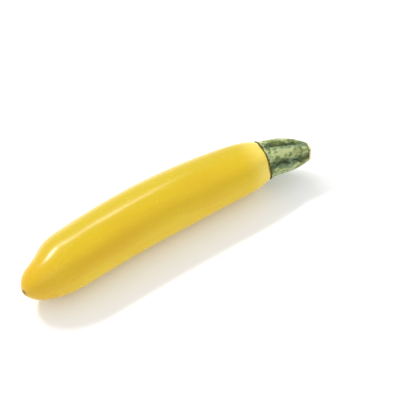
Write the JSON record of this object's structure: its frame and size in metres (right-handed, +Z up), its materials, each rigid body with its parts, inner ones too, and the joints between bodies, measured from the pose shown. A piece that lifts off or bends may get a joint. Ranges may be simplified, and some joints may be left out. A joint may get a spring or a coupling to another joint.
{
  "type": "yellow zucchini",
  "caption": "Slim, slightly bowed yellow summer squash with a blunt shoulder and a short ribbed green cut stem, lying on its side.",
  "frame": {"origin": "middle of the underside of the bounding box, on the surface that the zucchini lies on", "axes": "+X along the fruit from the blossom end to the stem, +Z up, the hollow side of the bow towards -Y"},
  "size_m": [0.2084, 0.0424, 0.0384],
  "materials": {
    "skin": "smooth waxy plant skin with a soft gloss",
    "stalk": "dull ribbed plant stem, mottled and slightly bristly"
  },
  "bodies": {
    "root": {"fruit": "skin", "stem": "stalk"}
  },
  "joints": []
}
